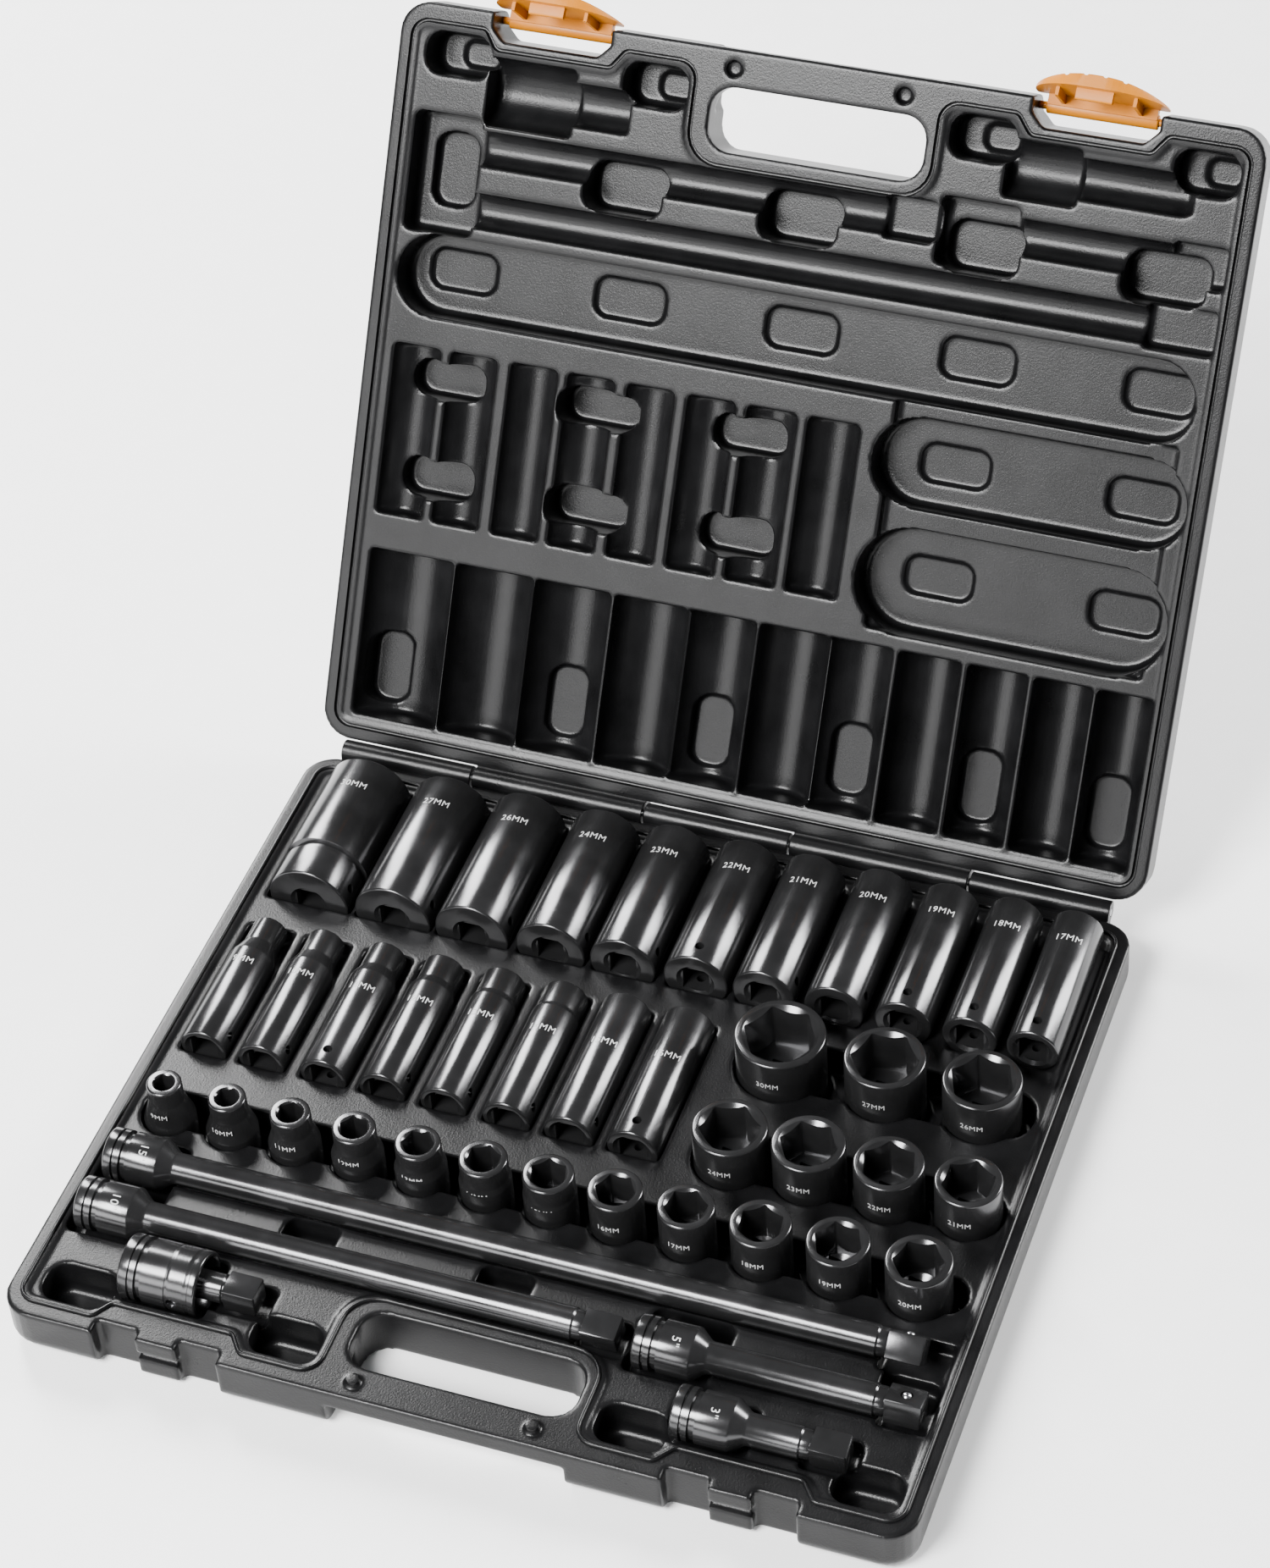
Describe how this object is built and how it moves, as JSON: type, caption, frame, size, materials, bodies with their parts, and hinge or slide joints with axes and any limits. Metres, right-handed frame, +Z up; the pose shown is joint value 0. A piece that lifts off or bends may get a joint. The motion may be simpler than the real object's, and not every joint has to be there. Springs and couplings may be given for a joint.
{
  "type": "socket wrench set in case",
  "caption": "Hinged carry case with latches and a handle, its moulded tray holding deep and shallow hex sockets, extension bars and a universal joint.",
  "frame": {"origin": "centre of the flat underside of the case base", "axes": "+X along the hinge to the right seen from the handle side, +Y from the handle to the hinge, +Z up"},
  "size_m": [0.417, 0.5783, 0.3525],
  "materials": {
    "case_plastic": "fine leather grain, dull black",
    "latch_plastic": "smooth amber",
    "black_steel": "satin black phosphate",
    "bright_steel": "plain polished"
  },
  "bodies": {
    "base": {"case_base": "case_plastic", "hinge_pin_left": "bright_steel", "hinge_pin_right": "bright_steel"},
    "lid": {"case_lid": "case_plastic"},
    "latch_left": {"latch_left": "latch_plastic"},
    "latch_right": {"latch_right": "latch_plastic"},
    "deep_socket_30mm": {"deep_socket_30mm": "black_steel"},
    "deep_socket_27mm": {"deep_socket_27mm": "black_steel"},
    "deep_socket_26mm": {"deep_socket_26mm": "black_steel"},
    "deep_socket_24mm": {"deep_socket_24mm": "black_steel"},
    "deep_socket_23mm": {"deep_socket_23mm": "black_steel"},
    "deep_socket_22mm": {"deep_socket_22mm": "black_steel"},
    "deep_socket_21mm": {"deep_socket_21mm": "black_steel"},
    "deep_socket_20mm": {"deep_socket_20mm": "black_steel"},
    "deep_socket_19mm": {"deep_socket_19mm": "black_steel"},
    "deep_socket_18mm": {"deep_socket_18mm": "black_steel"},
    "deep_socket_17mm": {"deep_socket_17mm": "black_steel"},
    "deep_socket_09mm": {"deep_socket_09mm": "black_steel"},
    "deep_socket_10mm": {"deep_socket_10mm": "black_steel"},
    "deep_socket_11mm": {"deep_socket_11mm": "black_steel"},
    "deep_socket_12mm": {"deep_socket_12mm": "black_steel"},
    "deep_socket_13mm": {"deep_socket_13mm": "black_steel"},
    "deep_socket_14mm": {"deep_socket_14mm": "black_steel"},
    "deep_socket_15mm": {"deep_socket_15mm": "black_steel"},
    "deep_socket_16mm": {"deep_socket_16mm": "black_steel"},
    "shallow_socket_09mm": {"shallow_socket_09mm": "black_steel"},
    "shallow_socket_10mm": {"shallow_socket_10mm": "black_steel"},
    "shallow_socket_11mm": {"shallow_socket_11mm": "black_steel"},
    "shallow_socket_12mm": {"shallow_socket_12mm": "black_steel"},
    "shallow_socket_13mm": {"shallow_socket_13mm": "black_steel"},
    "shallow_socket_14mm": {"shallow_socket_14mm": "black_steel"},
    "shallow_socket_15mm": {"shallow_socket_15mm": "black_steel"},
    "shallow_socket_16mm": {"shallow_socket_16mm": "black_steel"},
    "shallow_socket_17mm": {"shallow_socket_17mm": "black_steel"},
    "shallow_socket_18mm": {"shallow_socket_18mm": "black_steel"},
    "shallow_socket_19mm": {"shallow_socket_19mm": "black_steel"},
    "shallow_socket_20mm": {"shallow_socket_20mm": "black_steel"},
    "shallow_socket_24mm": {"shallow_socket_24mm": "black_steel"},
    "shallow_socket_23mm": {"shallow_socket_23mm": "black_steel"},
    "shallow_socket_22mm": {"shallow_socket_22mm": "black_steel"},
    "shallow_socket_21mm": {"shallow_socket_21mm": "black_steel"},
    "shallow_socket_30mm": {"shallow_socket_30mm": "black_steel"},
    "shallow_socket_27mm": {"shallow_socket_27mm": "black_steel"},
    "shallow_socket_26mm": {"shallow_socket_26mm": "black_steel"},
    "extension_15in": {"extension_15in": "black_steel"},
    "detent_ball_15in": {"detent_ball_15in": "bright_steel"},
    "extension_10in": {"extension_10in": "black_steel"},
    "detent_ball_10in": {"detent_ball_10in": "bright_steel"},
    "extension_5in": {"extension_5in": "black_steel"},
    "detent_ball_5in": {"detent_ball_5in": "bright_steel"},
    "extension_3in": {"extension_3in": "black_steel"},
    "detent_ball_3in": {"detent_ball_3in": "bright_steel"},
    "universal_joint": {"universal_housing": "black_steel", "universal_pin": "bright_steel"},
    "universal_drive": {"universal_drive": "black_steel"}
  },
  "joints": [
    {"name": "lid_hinge", "type": "hinge", "parent": "base", "child": "lid", "pos_m": [0, 0.1864, 0.025], "axis": [-1, 0, 0], "range_deg": [-121.8, 0]},
    {"name": "latch_left_hinge", "type": "hinge", "parent": "lid", "child": "latch_left", "pos_m": [-0.133, 0.39054, 0.32483], "axis": [-1, 0, 0], "range_deg": [-15, 75]},
    {"name": "latch_right_hinge", "type": "hinge", "parent": "lid", "child": "latch_right", "pos_m": [0.129, 0.39054, 0.32483], "axis": [-1, 0, 0], "range_deg": [-15, 75]},
    {"name": "deep_socket_30mm_lift", "type": "slide", "parent": "base", "child": "deep_socket_30mm", "axis": [0, 0, 1], "range_m": [0, 0.06]},
    {"name": "deep_socket_27mm_lift", "type": "slide", "parent": "base", "child": "deep_socket_27mm", "axis": [0, 0, 1], "range_m": [0, 0.06]},
    {"name": "deep_socket_26mm_lift", "type": "slide", "parent": "base", "child": "deep_socket_26mm", "axis": [0, 0, 1], "range_m": [0, 0.06]},
    {"name": "deep_socket_24mm_lift", "type": "slide", "parent": "base", "child": "deep_socket_24mm", "axis": [0, 0, 1], "range_m": [0, 0.06]},
    {"name": "deep_socket_23mm_lift", "type": "slide", "parent": "base", "child": "deep_socket_23mm", "axis": [0, 0, 1], "range_m": [0, 0.06]},
    {"name": "deep_socket_22mm_lift", "type": "slide", "parent": "base", "child": "deep_socket_22mm", "axis": [0, 0, 1], "range_m": [0, 0.06]},
    {"name": "deep_socket_21mm_lift", "type": "slide", "parent": "base", "child": "deep_socket_21mm", "axis": [0, 0, 1], "range_m": [0, 0.06]},
    {"name": "deep_socket_20mm_lift", "type": "slide", "parent": "base", "child": "deep_socket_20mm", "axis": [0, 0, 1], "range_m": [0, 0.06]},
    {"name": "deep_socket_19mm_lift", "type": "slide", "parent": "base", "child": "deep_socket_19mm", "axis": [0, 0, 1], "range_m": [0, 0.06]},
    {"name": "deep_socket_18mm_lift", "type": "slide", "parent": "base", "child": "deep_socket_18mm", "axis": [0, 0, 1], "range_m": [0, 0.06]},
    {"name": "deep_socket_17mm_lift", "type": "slide", "parent": "base", "child": "deep_socket_17mm", "axis": [0, 0, 1], "range_m": [0, 0.06]},
    {"name": "deep_socket_09mm_lift", "type": "slide", "parent": "base", "child": "deep_socket_09mm", "axis": [0, 0, 1], "range_m": [0, 0.06]},
    {"name": "deep_socket_10mm_lift", "type": "slide", "parent": "base", "child": "deep_socket_10mm", "axis": [0, 0, 1], "range_m": [0, 0.06]},
    {"name": "deep_socket_11mm_lift", "type": "slide", "parent": "base", "child": "deep_socket_11mm", "axis": [0, 0, 1], "range_m": [0, 0.06]},
    {"name": "deep_socket_12mm_lift", "type": "slide", "parent": "base", "child": "deep_socket_12mm", "axis": [0, 0, 1], "range_m": [0, 0.06]},
    {"name": "deep_socket_13mm_lift", "type": "slide", "parent": "base", "child": "deep_socket_13mm", "axis": [0, 0, 1], "range_m": [0, 0.06]},
    {"name": "deep_socket_14mm_lift", "type": "slide", "parent": "base", "child": "deep_socket_14mm", "axis": [0, 0, 1], "range_m": [0, 0.06]},
    {"name": "deep_socket_15mm_lift", "type": "slide", "parent": "base", "child": "deep_socket_15mm", "axis": [0, 0, 1], "range_m": [0, 0.06]},
    {"name": "deep_socket_16mm_lift", "type": "slide", "parent": "base", "child": "deep_socket_16mm", "axis": [0, 0, 1], "range_m": [0, 0.06]},
    {"name": "shallow_socket_09mm_lift", "type": "slide", "parent": "base", "child": "shallow_socket_09mm", "axis": [0, 0, 1], "range_m": [0, 0.06]},
    {"name": "shallow_socket_10mm_lift", "type": "slide", "parent": "base", "child": "shallow_socket_10mm", "axis": [0, 0, 1], "range_m": [0, 0.06]},
    {"name": "shallow_socket_11mm_lift", "type": "slide", "parent": "base", "child": "shallow_socket_11mm", "axis": [0, 0, 1], "range_m": [0, 0.06]},
    {"name": "shallow_socket_12mm_lift", "type": "slide", "parent": "base", "child": "shallow_socket_12mm", "axis": [0, 0, 1], "range_m": [0, 0.06]},
    {"name": "shallow_socket_13mm_lift", "type": "slide", "parent": "base", "child": "shallow_socket_13mm", "axis": [0, 0, 1], "range_m": [0, 0.06]},
    {"name": "shallow_socket_14mm_lift", "type": "slide", "parent": "base", "child": "shallow_socket_14mm", "axis": [0, 0, 1], "range_m": [0, 0.06]},
    {"name": "shallow_socket_15mm_lift", "type": "slide", "parent": "base", "child": "shallow_socket_15mm", "axis": [0, 0, 1], "range_m": [0, 0.06]},
    {"name": "shallow_socket_16mm_lift", "type": "slide", "parent": "base", "child": "shallow_socket_16mm", "axis": [0, 0, 1], "range_m": [0, 0.06]},
    {"name": "shallow_socket_17mm_lift", "type": "slide", "parent": "base", "child": "shallow_socket_17mm", "axis": [0, 0, 1], "range_m": [0, 0.06]},
    {"name": "shallow_socket_18mm_lift", "type": "slide", "parent": "base", "child": "shallow_socket_18mm", "axis": [0, 0, 1], "range_m": [0, 0.06]},
    {"name": "shallow_socket_19mm_lift", "type": "slide", "parent": "base", "child": "shallow_socket_19mm", "axis": [0, 0, 1], "range_m": [0, 0.06]},
    {"name": "shallow_socket_20mm_lift", "type": "slide", "parent": "base", "child": "shallow_socket_20mm", "axis": [0, 0, 1], "range_m": [0, 0.06]},
    {"name": "shallow_socket_24mm_lift", "type": "slide", "parent": "base", "child": "shallow_socket_24mm", "axis": [0, 0, 1], "range_m": [0, 0.06]},
    {"name": "shallow_socket_23mm_lift", "type": "slide", "parent": "base", "child": "shallow_socket_23mm", "axis": [0, 0, 1], "range_m": [0, 0.06]},
    {"name": "shallow_socket_22mm_lift", "type": "slide", "parent": "base", "child": "shallow_socket_22mm", "axis": [0, 0, 1], "range_m": [0, 0.06]},
    {"name": "shallow_socket_21mm_lift", "type": "slide", "parent": "base", "child": "shallow_socket_21mm", "axis": [0, 0, 1], "range_m": [0, 0.06]},
    {"name": "shallow_socket_30mm_lift", "type": "slide", "parent": "base", "child": "shallow_socket_30mm", "axis": [0, 0, 1], "range_m": [0, 0.06]},
    {"name": "shallow_socket_27mm_lift", "type": "slide", "parent": "base", "child": "shallow_socket_27mm", "axis": [0, 0, 1], "range_m": [0, 0.06]},
    {"name": "shallow_socket_26mm_lift", "type": "slide", "parent": "base", "child": "shallow_socket_26mm", "axis": [0, 0, 1], "range_m": [0, 0.06]},
    {"name": "extension_15in_lift", "type": "slide", "parent": "base", "child": "extension_15in", "axis": [0, 0, 1], "range_m": [0, 0.06]},
    {"name": "detent_ball_15in_press", "type": "slide", "parent": "extension_15in", "child": "detent_ball_15in", "axis": [0, 0.766, 0.6428], "range_m": [-0.0008, 0], "stiffness_N_per_m": 120},
    {"name": "extension_10in_lift", "type": "slide", "parent": "base", "child": "extension_10in", "axis": [0, 0, 1], "range_m": [0, 0.06]},
    {"name": "detent_ball_10in_press", "type": "slide", "parent": "extension_10in", "child": "detent_ball_10in", "axis": [0, 0.9781, 0.2079], "range_m": [-0.0008, 0], "stiffness_N_per_m": 120},
    {"name": "extension_5in_lift", "type": "slide", "parent": "base", "child": "extension_5in", "axis": [0, 0, 1], "range_m": [0, 0.06]},
    {"name": "detent_ball_5in_press", "type": "slide", "parent": "extension_5in", "child": "detent_ball_5in", "axis": [0, 0.2756, 0.9613], "range_m": [-0.0008, 0], "stiffness_N_per_m": 120},
    {"name": "extension_3in_lift", "type": "slide", "parent": "base", "child": "extension_3in", "axis": [0, 0, 1], "range_m": [0, 0.06]},
    {"name": "detent_ball_3in_press", "type": "slide", "parent": "extension_3in", "child": "detent_ball_3in", "axis": [0, 0.9976, 0.0698], "range_m": [-0.0008, 0], "stiffness_N_per_m": 120},
    {"name": "universal_joint_lift", "type": "slide", "parent": "base", "child": "universal_joint", "axis": [0, 0, 1], "range_m": [0, 0.06]},
    {"name": "universal_tilt", "type": "hinge", "parent": "universal_joint", "child": "universal_drive", "pos_m": [-0.1335, -0.1435, 0.028], "axis": [0, -1, 0], "range_deg": [0, 25]}
  ]
}
